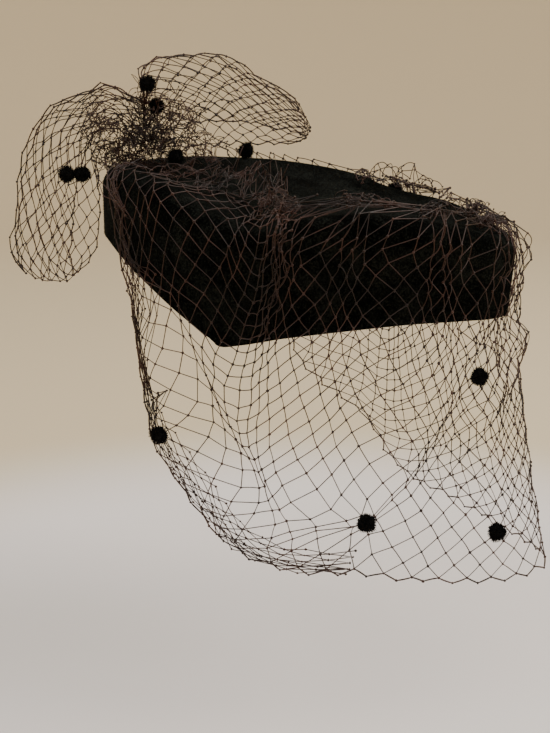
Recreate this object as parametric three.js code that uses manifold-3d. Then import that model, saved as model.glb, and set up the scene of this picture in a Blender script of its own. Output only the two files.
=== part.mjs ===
// Pillbox hat in black velour felt with a blocked, kite-shaped crown, a dark brown diamond-mesh
// veil gathered over the crown and hanging in front of the face, a big bow of the same netting
// at the back, and small fuzzy chenille dots caught on the net.
// Millimetres. +Z is up as the hat is worn, the front of the hat looks along -Y and the wearer's
// right is -X. The origin is the seat of the head under the middle of the crown.
import * as THREE from 'three';
import Module from 'manifold-3d';

const wasm = await Module();
wasm.setup();
const { Manifold, Mesh } = wasm;

// Felt cap
const HALF_WIDTH = 96;
const FRONT_REACH = 121;
const BACK_REACH = 124;
const FRONT_POWER = 1.5;
const BACK_POWER = 2.1;
const FELT = 2.5;
const SHOULDER = 9.5;
const CREST_RISE = 28;
const RIM_DROP = 58.5;
const RIM_SWEEP = 11;
const CROWN_MID = 11;
const CROWN_TILT = 16;
const CROWN_DISH = 6;

// Netting: the veil hangs from the gathered edge by NET_DROP at most
const NET_THICK = 1.5;
const STRAND = 2.2;
const NET_LIFT = 2.4;
const NET_DROP = 209;
const GATHER_LIE = 44;
const LEFT_LIE = 0.35;
const HEM_FLARE = 26;
const BUNCH_RISE = 2.5;
const BUNCH_ANGLE = 134;
const PLEAT_RISE = 5;
const SWAG_RISE = 6;
const SWAG_WIDTH = 8;
const VEIL_DROP_Z = 192;
const VEIL_DIAMONDS = [10, 3];

// Bow of netting
const KNOT = new THREE.Vector3(-9, 101, 43);
const KNOT_HALF = new THREE.Vector3(37, 23, 14);
const LOOP_REACH = 100;
const LOOP_THICK = 16;
const LOOP_DIAMONDS = [5, 2];

// Chenille dots
const DOT_RADIUS = 4.2;
const DOT_HALF_DEPTH = 3.4;
const DOT_CLEAR = 0.4;
const GAP = 0.35;

// One row per direction round the hat, angle in degrees from the front to the back; right is the
// wearer's right. Crest in shares of CREST_RISE, rim in shares of RIM_DROP, sweep of RIM_SWEEP.
const FELT_ROWS = [
  { angle: 0, crestRight: -0.18, crestLeft: -0.18, rim: 0.82, sweep: 0.27 },
  { angle: 12, crestRight: -0.12, crestLeft: -0.16, rim: 0.83, sweep: 0.36 },
  { angle: 24, crestRight: 0.04, crestLeft: -0.11, rim: 0.82, sweep: 0.55 },
  { angle: 38, crestRight: 0.21, crestLeft: 0.04, rim: 0.82, sweep: 0.73 },
  { angle: 52, crestRight: 0.34, crestLeft: 0.20, rim: 0.86, sweep: 0.91 },
  { angle: 66, crestRight: 0.26, crestLeft: 0.27, rim: 0.92, sweep: 1.0 },
  { angle: 78, crestRight: 0.11, crestLeft: 0.38, rim: 0.99, sweep: 1.0 },
  { angle: 87, crestRight: 0.07, crestLeft: 0.50, rim: 1.0, sweep: 1.0 },
  { angle: 98, crestRight: 0.36, crestLeft: 0.68, rim: 0.79, sweep: 0.82 },
  { angle: 110, crestRight: 0.68, crestLeft: 0.82, rim: 0.55, sweep: 0.64 },
  { angle: 122, crestRight: 0.87, crestLeft: 0.91, rim: 0.37, sweep: 0.36 },
  { angle: 136, crestRight: 0.91, crestLeft: 0.96, rim: 0.21, sweep: 0.18 },
  { angle: 150, crestRight: 0.91, crestLeft: 1.0, rim: 0.18, sweep: 0 },
  { angle: 165, crestRight: 0.95, crestLeft: 1.0, rim: 0.19, sweep: 0 },
  { angle: 180, crestRight: 0.98, crestLeft: 0.98, rim: 0.19, sweep: 0 },
];

// One row per direction of the veil: how much net hangs there, how far its gathered edge lies in
// on the crown, how far its hem stands out, and the share of the net's width already gathered.
// Behind 60 degrees on the left the gathered edge lies in by LEFT_LIE of this.
const VEIL_ROWS = [
  { angle: 0, drop: 0.947, lie: 0.14, flare: 1.0, start: 0 },
  { angle: 15, drop: 0.962, lie: 0.14, flare: 0.90, start: 0 },
  { angle: 30, drop: 0.981, lie: 0.14, flare: 0.70, start: 0 },
  { angle: 45, drop: 0.986, lie: 0.14, flare: 0.50, start: 0 },
  { angle: 60, drop: 0.976, lie: 0.11, flare: 0.30, start: 0 },
  { angle: 69, drop: 0.967, lie: 0.18, flare: 0.22, start: 0 },
  { angle: 77, drop: 1.0, lie: 0.52, flare: 0.16, start: 0.10 },
  { angle: 84.4, drop: 1.0, lie: 0.77, flare: 0.13, start: 0.19 },
  { angle: 93.5, drop: 1.0, lie: 0.95, flare: 0.12, start: 0.30 },
  { angle: 99, drop: 0.981, lie: 1.0, flare: 0.12, start: 0.37 },
  { angle: 105.2, drop: 0.938, lie: 1.0, flare: 0.12, start: 0.44 },
  { angle: 111.3, drop: 0.861, lie: 0.95, flare: 0.12, start: 0.52 },
  { angle: 115.4, drop: 0.636, lie: 0.89, flare: 0.12, start: 0.58 },
  { angle: 119.4, drop: 0.536, lie: 0.82, flare: 0.12, start: 0.64 },
  { angle: 124, drop: 0.421, lie: 0.68, flare: 0.12, start: 0.71 },
  { angle: 127, drop: 0.318, lie: 0.55, flare: 0.12, start: 0.76 },
  { angle: 129.6, drop: 0.214, lie: 0.41, flare: 0.12, start: 0.80 },
  { angle: 136, drop: 0.115, lie: 0.34, flare: 0.12, start: 0.91 },
  { angle: 142, drop: 0, lie: 0.27, flare: 0.12, start: 1.0 },
];

// Standing pleats below the tacks of the veil: where, half width in degrees, rise share.
const PLEATS = [
  { angle: 74, width: 4, rise: 1.0 },
  { angle: 64, width: 3.5, rise: 1.0 },
  { angle: 52, width: 3.5, rise: 1.0 },
  { angle: 40, width: 3.5, rise: 0.8 },
  { angle: 30, width: 3.5, rise: 1.0 },
  { angle: 20, width: 3.5, rise: 1.0 },
  { angle: 10, width: 3.5, rise: 0.8 },
  { angle: 0, width: 3.5, rise: 0.6 },
];

// The long sagging fold of the veil: its height below the seat in shares of VEIL_DROP_Z.
const SWAG_ROWS = [
  { angle: 0, fall: 0.31 },
  { angle: 10, fall: 0.34 },
  { angle: 24, fall: 0.48 },
  { angle: 40, fall: 0.67 },
  { angle: 52, fall: 0.78 },
  { angle: 66, fall: 0.83 },
  { angle: 80, fall: 0.82 },
  { angle: 90, fall: 0.76 },
  { angle: 100, fall: 0.62 },
  { angle: 108, fall: 0.47 },
  { angle: 116, fall: 0.26 },
];

// The two loops of the bow, from the knot (share 0) to the far fold (share 1): the two edges of
// the strip as reach out from the knot and height above it, in shares of LOOP_REACH.
const LOOPS = [
  {
    tied: [[0.755, 0.575]],
    dots: [
      { along: 0.755, across: 0.575 },
      { along: 0.771, across: 0.72 },
    ],
    way: new THREE.Vector3(-0.45, 0.893, 0),
    rows: [
      { share: 0, outReach: 0.03, outHeight: 0.10, inReach: 0.06, inHeight: -0.08 },
      { share: 0.15, outReach: 0.20, outHeight: 0.31, inReach: 0.25, inHeight: -0.06 },
      { share: 0.3, outReach: 0.40, outHeight: 0.26, inReach: 0.33, inHeight: -0.16 },
      { share: 0.45, outReach: 0.61, outHeight: 0.17, inReach: 0.31, inHeight: -0.28 },
      { share: 0.6, outReach: 0.77, outHeight: -0.10, inReach: 0.30, inHeight: -0.43 },
      { share: 0.75, outReach: 0.83, outHeight: -0.43, inReach: 0.305, inHeight: -0.57 },
      { share: 0.9, outReach: 0.87, outHeight: -0.71, inReach: 0.33, inHeight: -0.72 },
      { share: 1, outReach: 0.79, outHeight: -0.87, inReach: 0.40, inHeight: -0.83 },
    ],
  },
  {
    tied: [[0.11, 0.14], [0.252, 0.97]],
    dots: [
      { along: 0.11, across: 0.14 },
      { along: 0.252, across: 0.97 },
    ],
    way: new THREE.Vector3(0.87, -0.493, 0),
    rows: [
      { share: 0, outReach: -0.02, outHeight: 0.10, inReach: 0.04, inHeight: -0.08 },
      { share: 0.15, outReach: -0.08, outHeight: 0.33, inReach: 0.19, inHeight: -0.09 },
      { share: 0.3, outReach: -0.02, outHeight: 0.45, inReach: 0.34, inHeight: -0.10 },
      { share: 0.45, outReach: 0.21, outHeight: 0.49, inReach: 0.50, inHeight: -0.10 },
      { share: 0.6, outReach: 0.51, outHeight: 0.48, inReach: 0.66, inHeight: -0.10 },
      { share: 0.75, outReach: 0.75, outHeight: 0.35, inReach: 0.84, inHeight: -0.10 },
      { share: 0.9, outReach: 1.0, outHeight: 0.19, inReach: 1.02, inHeight: -0.09 },
      { share: 1, outReach: 1.14, outHeight: 0.07, inReach: 1.15, inHeight: -0.05 },
    ],
  },
];

// Where the dots sit: on the veil at an angle from the front (the wearer's right is positive) and
// a share of the way from the gathered edge to the hem, and on the bow's knot in a direction.
const VEIL_DOTS = [
  { angle: 102.7, across: 0.917 },
  { angle: 49.45, across: 0.813 },
  { angle: 21.3, across: 0.439 },
  { angle: 19.2, across: 0.844 },
  { angle: -80, across: 0.235 },
];
const KNOT_DOTS = [
  { way: new THREE.Vector3(0.1, -0.1, 0.99) },
  { way: new THREE.Vector3(-0.08, -0.76, -0.64) },
];

const UP = new THREE.Vector3(0, 0, 1);
const rad = (deg) => deg * Math.PI / 180;
const clamp = (x, a, b) => Math.min(b, Math.max(a, x));
const fold = (t) => Math.abs(wrap(t));
const wrap = (t) => (((t + 180) % 360) + 360) % 360 - 180;

// Smooth curve through one named column of a table.
function column(rows, key, name, x) {
  const n = rows.length;
  const at = clamp(x, rows[0][key], rows[n - 1][key]);
  let i = 0;
  while (i < n - 2 && at >= rows[i + 1][key]) i += 1;
  const slope = (k) => {
    if (k === 0 || k === n - 1) return 0;
    return (rows[k + 1][name] - rows[k - 1][name]) / (rows[k + 1][key] - rows[k - 1][key]);
  };
  const h = rows[i + 1][key] - rows[i][key];
  const s = (at - rows[i][key]) / h;
  return (1 + 2 * s) * (1 - s) ** 2 * rows[i][name]
    + s * (1 - s) ** 2 * h * slope(i)
    + s * s * (3 - 2 * s) * rows[i + 1][name]
    + s * s * (s - 1) * h * slope(i + 1);
}

// Felt cap: plan outline, heights and the line down its side
function plan(t, inset = 0) {
  const c = Math.cos(rad(t));
  const s = Math.sin(rad(t));
  const power = c >= 0 ? FRONT_POWER : BACK_POWER;
  const reach = c >= 0 ? FRONT_REACH : BACK_REACH;
  return new THREE.Vector2(
    -(HALF_WIDTH - inset) * Math.sign(s) * Math.abs(s) ** (2 / power),
    -(reach - inset) * Math.sign(c) * Math.abs(c) ** (2 / power),
  );
}

function outward(t) {
  const a = plan(t - 2);
  const b = plan(t + 2);
  const n = new THREE.Vector2(-(b.y - a.y), b.x - a.x).normalize();
  return n.dot(plan(t)) < 0 ? n.negate() : n;
}

function crestHeight(t) {
  const right = column(FELT_ROWS, 'angle', 'crestRight', fold(t));
  const left = column(FELT_ROWS, 'angle', 'crestLeft', fold(t));
  const w = 0.5 + 0.5 * clamp(2 * Math.sin(rad(wrap(t))), -1, 1);
  return CREST_RISE * (right * w + left * (1 - w));
}

const rimHeight = (t) => -RIM_DROP * column(FELT_ROWS, 'angle', 'rim', fold(t));
const rimSweep = (t) => RIM_SWEEP * column(FELT_ROWS, 'angle', 'sweep', fold(t));

// Height of the dished top at the share r of the way from its middle to the crest: a slope
// falling to the front, which the crest bends up and down towards its edge.
function crownHeight(t, r) {
  const edge = plan(t).addScaledVector(outward(t), -SHOULDER).y;
  const slope = (y) => CROWN_MID + CROWN_TILT * y / FRONT_REACH;
  return slope(edge * r) + (crestHeight(t) - slope(edge)) * r ** 2.5 - CROWN_DISH * (1 - r * r);
}

function crownHeightAt(x, y) {
  const reach = (y <= 0 ? FRONT_REACH : BACK_REACH) - SHOULDER;
  const power = y <= 0 ? FRONT_POWER : BACK_POWER;
  const a = (Math.abs(x) / (HALF_WIDTH - SHOULDER)) ** power;
  const b = (Math.abs(y) / reach) ** power;
  const r = (a + b) ** (1 / power);
  const t = Math.atan2(Math.sign(-x) * Math.sqrt(a), Math.sign(-y) * Math.sqrt(b)) * 180 / Math.PI;
  return crownHeight(t, Math.min(r, 1));
}

// Point on the side of the hat at the angle t: at `along` mm from a line lying `lie` mm in from
// the shoulder, out over the shoulder, down the wall and freely down to the hem.
function sidePoint(t, along, lie, lift, flare, hem) {
  const crest = crestHeight(t);
  const rim = rimHeight(t);
  const arc = SHOULDER * Math.PI / 2;
  const turn = clamp((along - lie) / SHOULDER, 0, Math.PI / 2);
  const inset = Math.max(lie - along, 0);
  const down = Math.max(along - lie - arc, 0);
  let z = crest - SHOULDER + (SHOULDER + lift) * Math.cos(turn) - down;
  const wall = clamp(down / Math.max(crest - SHOULDER - rim, 1), 0, 1);
  const hang = Math.max((rim - z) / Math.max(rim - hem, 1), 0);
  const out = -SHOULDER + (SHOULDER + lift) * Math.sin(turn) - inset + flare * hang ** 1.2;
  const n = outward(t);
  const p = plan(t).addScaledVector(n, out);
  if (inset > 0) {
    const edge = plan(t).addScaledVector(n, -SHOULDER);
    z += crownHeightAt(p.x, p.y) - crownHeightAt(edge.x, edge.y);
  }
  return new THREE.Vector3(p.x, p.y + rimSweep(t) * wall, z);
}

// Closed mesh from rings of points that share their count, with a point closing each end.
function ringSolid(rings, first, last) {
  const pos = [];
  const tri = [];
  const n = rings[0].length;
  rings.forEach((ring) => ring.forEach((p) => pos.push(p)));
  for (let r = 0; r < rings.length - 1; r += 1) {
    for (let k = 0; k < n; k += 1) {
      const a = r * n + k;
      const b = r * n + (k + 1) % n;
      tri.push([a, b, b + n], [a, b + n, a + n]);
    }
  }
  pos.push(first, last);
  const end = (rings.length - 1) * n;
  for (let k = 0; k < n; k += 1) {
    const b = (k + 1) % n;
    tri.push([rings.length * n, b, k]);
    tri.push([rings.length * n + 1, end + k, end + b]);
  }
  return { pos, tri };
}

function toGeometry(solid) {
  const geometry = new THREE.BufferGeometry();
  const flat = new Float32Array(solid.pos.length * 3);
  solid.pos.forEach((p, k) => p.toArray(flat, 3 * k));
  geometry.setAttribute('position', new THREE.BufferAttribute(flat, 3));
  geometry.setIndex(solid.tri.flat());
  geometry.computeVertexNormals();
  return geometry;
}

// The felt cap: from the middle of its inside, out to the inner wall, round the cut rim, up the
// outer wall, over the shoulder and in over the dished top.
function feltCap() {
  const columns = 64;
  const angles = Array.from({ length: columns }, (_, k) => -(k + 0.5) * 360 / columns);
  const crownRings = [0.3, 0.6, 0.85, 1];
  const arc = SHOULDER * Math.PI / 2;
  const outer = (t, along) => sidePoint(t, along, 0, 0, 0, -VEIL_DROP_Z);
  const wallLength = (t) => crestHeight(t) - SHOULDER - rimHeight(t);
  const top = (t, r, drop) => {
    const e = plan(t).addScaledVector(outward(t), -SHOULDER);
    const fit = crestHeight(t) - crownHeightAt(e.x, e.y);
    return new THREE.Vector3(e.x * r, e.y * r, crownHeightAt(e.x * r, e.y * r) + fit * r * r - drop);
  };
  const inner = (t, along) => {
    const turn = clamp(along / SHOULDER, 0, Math.PI / 2);
    const n = outward(t);
    const p = outer(t, along);
    p.x -= FELT * Math.sin(turn) * n.x;
    p.y -= FELT * Math.sin(turn) * n.y;
    p.z -= FELT * Math.cos(turn);
    return p;
  };
  const rings = [];
  crownRings.forEach((r) => rings.push(angles.map((t) => top(t, r, FELT))));
  [0.5, 1].forEach((s) => rings.push(angles.map((t) => inner(t, arc * s))));
  [0.5, 1].forEach((s) => rings.push(angles.map((t) => inner(t, arc + wallLength(t) * s))));
  [1, 0.5, 0].forEach((s) => rings.push(angles.map((t) => outer(t, arc + wallLength(t) * s))));
  [0.75, 0.5, 0.25].forEach((s) => rings.push(angles.map((t) => outer(t, arc * s))));
  [...crownRings].reverse().forEach((r) => rings.push(angles.map((t) => top(t, r, 0))));
  const mid = CROWN_MID - CROWN_DISH;
  return ringSolid(rings, new THREE.Vector3(0, 0, mid - FELT), new THREE.Vector3(0, 0, mid));
}

// Veil: one point for the share u along the strip and the share v across it, from the gathered
// edge (0) to the hem (1). Each lengthwise line starts and ends on the gathered edge.
const GATHER_ANGLE = VEIL_ROWS[VEIL_ROWS.length - 1].angle;

function startShare(t) {
  const a = clamp(fold(t), 0, GATHER_ANGLE);
  let i = 0;
  while (i < VEIL_ROWS.length - 2 && a >= VEIL_ROWS[i + 1].angle) i += 1;
  const s = (a - VEIL_ROWS[i].angle) / (VEIL_ROWS[i + 1].angle - VEIL_ROWS[i].angle);
  return VEIL_ROWS[i].start + s * (VEIL_ROWS[i + 1].start - VEIL_ROWS[i].start);
}

function endAngle(v) {
  let low = VEIL_ROWS.filter((row) => row.start === 0).at(-1).angle;
  let high = GATHER_ANGLE;
  for (let k = 0; k < 40; k += 1) {
    const mid = (low + high) / 2;
    if (startShare(mid) < v) low = mid;
    else high = mid;
  }
  return low;
}

// Point of the veil at the angle t and the share q of what hangs there.
function veilHang(t, q) {
  const a = fold(t);
  const rightLie = GATHER_LIE * column(VEIL_ROWS, 'angle', 'lie', a);
  const lie = rightLie * (1 - (1 - LEFT_LIE) * clamp((-t - 60) / 20, 0, 1));
  const drop = Math.max(NET_DROP * column(VEIL_ROWS, 'angle', 'drop', a) - (rightLie - lie), 0);
  const flare = HEM_FLARE * column(VEIL_ROWS, 'angle', 'flare', a);
  const hem = crestHeight(t) - SHOULDER - (drop - lie - SHOULDER * Math.PI / 2);
  let lift = NET_LIFT + BUNCH_RISE * clamp(1 - (BUNCH_ANGLE - a) / 12, 0, 1);
  PLEATS.forEach((pleat) => {
    const bump = Math.exp(-(((a - pleat.angle) / pleat.width) ** 2));
    lift += PLEAT_RISE * pleat.rise * bump * clamp(1 - 1.2 * q, 0, 1);
  });
  const p = sidePoint(t, drop * q, lie, lift, flare, hem);
  const fall = -VEIL_DROP_Z * column(SWAG_ROWS, 'angle', 'fall', a);
  const ridge = SWAG_RISE * Math.exp(-(((p.z - fall) / SWAG_WIDTH) ** 2)) * clamp((118 - a) / 20, 0, 1);
  const n = outward(t);
  return p.add(new THREE.Vector3(n.x * ridge, n.y * ridge, 0));
}

function hangShare(t, v) {
  const start = startShare(t);
  return clamp((v - start) / Math.max(1 - start, 1e-6), 0, 1);
}

const veilSide = (t, v) => veilHang(t, hangShare(t, v));

const veilLines = new Map();

function veilLine(v) {
  const key = v.toFixed(6);
  if (!veilLines.has(key)) {
    const end = endAngle(v);
    const steps = 240;
    const angles = Array.from({ length: steps + 1 }, (_, k) => end - 2 * end * k / steps);
    const points = angles.map((t) => veilSide(t, v));
    const lengths = [0];
    points.slice(1).forEach((p, k) => lengths.push(lengths[k] + p.distanceTo(points[k])));
    veilLines.set(key, { angles, lengths });
  }
  return veilLines.get(key);
}

function veilAngle(u, v) {
  const { angles, lengths } = veilLine(v);
  const want = clamp(u, 0, 1) * lengths.at(-1);
  let i = 0;
  while (i < lengths.length - 2 && lengths[i + 1] < want) i += 1;
  const s = clamp((want - lengths[i]) / (lengths[i + 1] - lengths[i]), 0, 1);
  return angles[i] + s * (angles[i + 1] - angles[i]);
}

const veilPoint = (u, v) => veilSide(veilAngle(u, v), v);

function veilNormal(u, v) {
  const t = veilAngle(u, v);
  const q = hangShare(t, v);
  const along = veilHang(t - 1, q).sub(veilHang(t + 1, q));
  const down = veilHang(t, Math.min(q + 0.01, 1)).sub(veilHang(t, Math.max(q - 0.01, 0)));
  return down.cross(along).normalize();
}

// Share along the strip at which its line v passes the angle t.
function veilShare(t, v) {
  const { angles, lengths } = veilLine(v);
  const k = angles.findIndex((angle) => angle <= t);
  return lengths[k] / lengths.at(-1);
}

// Bow loop: u runs from the knot out along one face and back along the other, v across the strip.
function loopPoint(loop, u, v) {
  const turn = 2 * Math.PI * (0.04 + 0.92 * clamp(u, 0, 1));
  const share = (1 - Math.cos(turn)) / 2;
  const belly = (0.45 + 0.55 * share) * (0.3 + 0.7 * Math.sin(Math.PI * v));
  const at = (name) => LOOP_REACH * column(loop.rows, 'share', name, share);
  const reach = at('outReach') * (1 - v) + at('inReach') * v;
  const height = at('outHeight') * (1 - v) + at('inHeight') * v;
  const side = new THREE.Vector3().crossVectors(loop.way, UP);
  return KNOT.clone()
    .addScaledVector(loop.way, reach)
    .addScaledVector(UP, height)
    .addScaledVector(side, LOOP_THICK * Math.sin(turn) * belly);
}

function loopNormal(loop, u, v) {
  const at = (a, b) => loopPoint(loop, clamp(a, 0, 1), clamp(b, 0, 1));
  const along = at(u + 0.004, v).sub(at(u - 0.004, v));
  const across = at(u, v + 0.012).sub(at(u, v - 0.012));
  return across.cross(along).normalize();
}

// A cut-through diamond net laid on a surface: rings of strand round the diamonds, each ring
// sharing its outer points with its neighbours. Half diamonds close the long edges, and the short
// ends too where `ends` is set. `moved` shifts single crossings, `steps` says how often a side is
// divided.
function netSolid({ point, normal, diamonds, steps, ends, moved }) {
  const [nu, nv] = diamonds;
  const pos = [];
  const tri = [];
  const index = new Map();
  const corner = (i, j) => moved.get(`${i},${j}`) ?? [i / (2 * nu), j / (2 * nv)];
  const vertex = (uv, layer) => {
    const key = `${uv[0].toFixed(7)},${uv[1].toFixed(7)},${layer}`;
    if (!index.has(key)) {
      const p = point(uv[0], uv[1]);
      if (layer) p.addScaledVector(normal(uv[0], uv[1]), NET_THICK);
      index.set(key, pos.length);
      pos.push(p);
    }
    return index.get(key);
  };
  const cells = [];
  for (let i = 0; i <= 2 * nu; i += 1) {
    for (let j = 0; j <= 2 * nv; j += 1) {
      const inside = i > 0 && i < 2 * nu && j > 0 && j < 2 * nv;
      const edge = (j % (2 * nv) === 0) || (ends && i % (2 * nu) === 0);
      if ((i + j) % 2 && (inside || edge)) {
        const ring = [[i - 1, j], [i, j + 1], [i + 1, j], [i, j - 1]]
          .filter(([a, b]) => a >= 0 && a <= 2 * nu && b >= 0 && b <= 2 * nv);
        cells.push(ring);
      }
    }
  }
  const sideKey = (a, b) => [a, b].map(String).sort().join('|');
  const used = new Map();
  cells.forEach((ring) => ring.forEach((a, k) => {
    const key = sideKey(a, ring[(k + 1) % ring.length]);
    used.set(key, (used.get(key) ?? 0) + 1);
  }));
  cells.forEach((ring) => {
    const corners = ring.map(([i, j]) => corner(i, j));
    const outline = [];
    const open = [];
    corners.forEach((a, k) => {
      const b = corners[(k + 1) % corners.length];
      const free = used.get(sideKey(ring[k], ring[(k + 1) % ring.length])) === 1;
      const count = steps((a[0] + b[0]) / 2, (a[1] + b[1]) / 2);
      for (let m = 0; m < count; m += 1) {
        const forward = a[0] < b[0] || (a[0] === b[0] && a[1] < b[1]);
        const s = forward ? m / count : (count - m) / count;
        const [p, q] = forward ? [a, b] : [b, a];
        outline.push([p[0] + s * (q[0] - p[0]), p[1] + s * (q[1] - p[1])]);
        open.push(free);
      }
    });
    const points = corners.map(([u, v]) => point(u, v));
    const middle = points.reduce((sum, p) => sum.add(p), new THREE.Vector3()).divideScalar(points.length);
    let area = 0;
    let round = 0;
    points.forEach((p, k) => {
      const q = points[(k + 1) % points.length];
      area += p.clone().sub(middle).cross(q.clone().sub(middle)).length() / 2;
      round += p.distanceTo(q);
    });
    const width = STRAND / 2 * (open.includes(true) ? 1.5 : 1);
    const keep = clamp(1 - width / (2 * area / round), 0.3, 0.95);
    const mid = [0, 1].map((c) => corners.reduce((sum, p) => sum + p[c], 0) / corners.length);
    const hole = outline.map((p) => [0, 1].map((c) => mid[c] + keep * (p[c] - mid[c])));
    outline.forEach((p, k) => {
      const q = outline[(k + 1) % outline.length];
      const r = hole[(k + 1) % hole.length];
      const s = hole[k];
      const [pf, qf, rf, sf] = [p, q, r, s].map((x) => vertex(x, 1));
      const [pb, qb, rb, sb] = [p, q, r, s].map((x) => vertex(x, 0));
      tri.push([pf, qf, rf], [pf, rf, sf], [pb, sb, rb], [pb, rb, qb]);
      tri.push([sf, rf, rb], [sf, rb, sb]);
      if (open[k]) tri.push([qf, pf, pb], [qf, pb, qb]);
    });
  });
  return { pos, tri };
}

// Crossings of a net moved under the dots that are tied to them.
function tiedCrossings(spots, diamonds) {
  const [nu, nv] = diamonds;
  const moved = new Map();
  spots.forEach(([u, v]) => {
    let best = null;
    for (let i = 0; i <= 2 * nu; i += 1) {
      for (let j = i % 2; j <= 2 * nv; j += 2) {
        const far = Math.hypot(i - 2 * nu * u, j - 2 * nv * v);
        const free = !moved.has(`${i},${j}`);
        if (free && (best === null || far < best.far)) best = { i, j, far };
      }
    }
    moved.set(`${best.i},${best.j}`, [u, v]);
  });
  return moved;
}

function veil() {
  return netSolid({
    point: veilPoint,
    normal: veilNormal,
    diamonds: VEIL_DIAMONDS,
    steps: (u, v) => (v < 0.4 || Math.abs(u - 0.5) > 0.4 ? 4 : 3),
    ends: true,
    moved: tiedCrossings(VEIL_DOTS.map((at) => [veilShare(at.angle, at.across), at.across]), VEIL_DIAMONDS),
  });
}

function manifoldOf(solid) {
  const flat = new Float32Array(solid.pos.length * 3);
  solid.pos.forEach((p, k) => p.toArray(flat, 3 * k));
  const mesh = new Mesh({ numProp: 3, vertProperties: flat, triVerts: new Uint32Array(solid.tri.flat()) });
  mesh.merge();
  return new Manifold(mesh);
}

// The gathered middle of the bow: a rumpled lump of bunched net that sits on the crown. `dir`
// is the way out from its middle.
function knotPoint(dir) {
  const rumple = 1 + 0.08 * Math.sin(7 * dir.x + 5 * dir.z) * Math.cos(6 * dir.y)
    + 0.05 * Math.sin(9 * dir.y - 4 * dir.z + 1);
  const p = KNOT.clone().add(dir.clone().multiply(KNOT_HALF).multiplyScalar(rumple));
  p.z = Math.max(p.z, crownHeightAt(p.x, p.y) + 2 * GAP);
  return p;
}

function knotLump() {
  const around = 20;
  const tilts = Array.from({ length: 11 }, (_, r) => Math.PI * (r + 1) / 12);
  const turns = Array.from({ length: around }, (_, k) => -2 * Math.PI * k / around);
  const rings = tilts.map((tilt) => turns.map((turn) => knotPoint(new THREE.Vector3(
    Math.cos(tilt),
    Math.sin(tilt) * Math.cos(turn),
    Math.sin(tilt) * Math.sin(turn),
  ))));
  return ringSolid(rings, knotPoint(new THREE.Vector3(1, 0, 0)), knotPoint(new THREE.Vector3(-1, 0, 0)));
}

function bow() {
  let whole = manifoldOf(knotLump());
  LOOPS.forEach((loop) => {
    const net = netSolid({
      point: (u, v) => loopPoint(loop, u, v),
      normal: (u, v) => loopNormal(loop, u, v),
      diamonds: LOOP_DIAMONDS,
      steps: (u) => (Math.abs(u - 0.5) < 0.36 ? 3 : 1),
      ends: false,
      moved: tiedCrossings(loop.tied, LOOP_DIAMONDS),
    });
    whole = whole.add(manifoldOf(net));
  });
  const mesh = whole.getMesh();
  const pos = [];
  for (let k = 0; k < mesh.numVert; k += 1) {
    pos.push(new THREE.Vector3().fromArray(mesh.vertProperties, k * mesh.numProp));
  }
  const tri = [];
  for (let k = 0; k < mesh.numTri; k += 1) {
    tri.push([...mesh.triVerts.subarray(3 * k, 3 * k + 3)]);
  }
  return { pos, tri };
}

// A fuzzy dot: a puff, a little flat, with its short axis along `way`.
function dot(seat, way) {
  const axis = way.clone().normalize();
  const across = new THREE.Vector3().crossVectors(axis, Math.abs(axis.z) < 0.9 ? UP : KNOT).normalize();
  const third = new THREE.Vector3().crossVectors(axis, across);
  const middle = seat.clone().addScaledVector(axis, DOT_CLEAR + DOT_HALF_DEPTH);
  const at = (tilt, turn) => middle.clone()
    .addScaledVector(axis, DOT_HALF_DEPTH * Math.cos(tilt))
    .addScaledVector(across, DOT_RADIUS * Math.sin(tilt) * Math.cos(turn))
    .addScaledVector(third, DOT_RADIUS * Math.sin(tilt) * Math.sin(turn));
  const turns = Array.from({ length: 10 }, (_, k) => -2 * Math.PI * k / 10);
  const rings = [1, 2, 3, 4, 5].map((r) => turns.map((turn) => at(Math.PI * r / 6, turn)));
  return ringSolid(rings, at(0, 0), at(Math.PI, 0));
}

function dots() {
  const seats = [];
  VEIL_DOTS.forEach(({ angle, across }) => {
    const u = veilShare(angle, across);
    const way = veilNormal(u, across);
    seats.push({ way, seat: veilPoint(u, across).addScaledVector(way, NET_THICK) });
  });
  LOOPS.forEach((loop) => loop.dots.forEach(({ along, across }) => {
    const way = loopNormal(loop, along, across);
    seats.push({ way, seat: loopPoint(loop, along, across).addScaledVector(way, NET_THICK) });
  }));
  KNOT_DOTS.forEach(({ way }) => {
    const dir = way.clone().normalize();
    const out = dir.clone().divide(KNOT_HALF).normalize();
    seats.push({ way: out, seat: knotPoint(dir).addScaledVector(out, -GAP) });
  });
  return seats.map(({ seat, way }) => dot(seat, way));
}

const felt = new THREE.MeshStandardMaterial({ color: 0x0c0f0d, roughness: 0.95, metalness: 0 });
const net = new THREE.MeshStandardMaterial({ color: 0x2a1a15, roughness: 0.7, metalness: 0 });
const fuzz = new THREE.MeshStandardMaterial({ color: 0x090909, roughness: 1, metalness: 0 });

const group = new THREE.Group();
group.name = 'pillbox_hat';

function add(name, solid, material) {
  const mesh = new THREE.Mesh(toGeometry(solid), material.clone());
  mesh.name = name;
  mesh.material.name = name;
  group.add(mesh);
}

add('felt_body', feltCap(), felt);
add('face_veil', veil(), net);
add('net_bow', bow(), net);
dots().forEach((solid, k) => add(`chenille_dot_${String(k + 1).padStart(2, '0')}`, solid, fuzz));

export default group;
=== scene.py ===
# %% [markdown]
# # A velour pillbox hat with a diamond net veil
# A blocked felt cap carries a strip of knotted net. The net is gathered on the crown, hangs down
# at the front, and makes a bow with two puffed loops at the back. Small fuzzy chenille dots
# are caught on it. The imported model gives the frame, and every piece here is fitted to it.

# %% Load the frame
import math
import bpy
import numpy as np
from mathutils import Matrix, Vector
from mathutils.bvhtree import BVHTree


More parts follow.
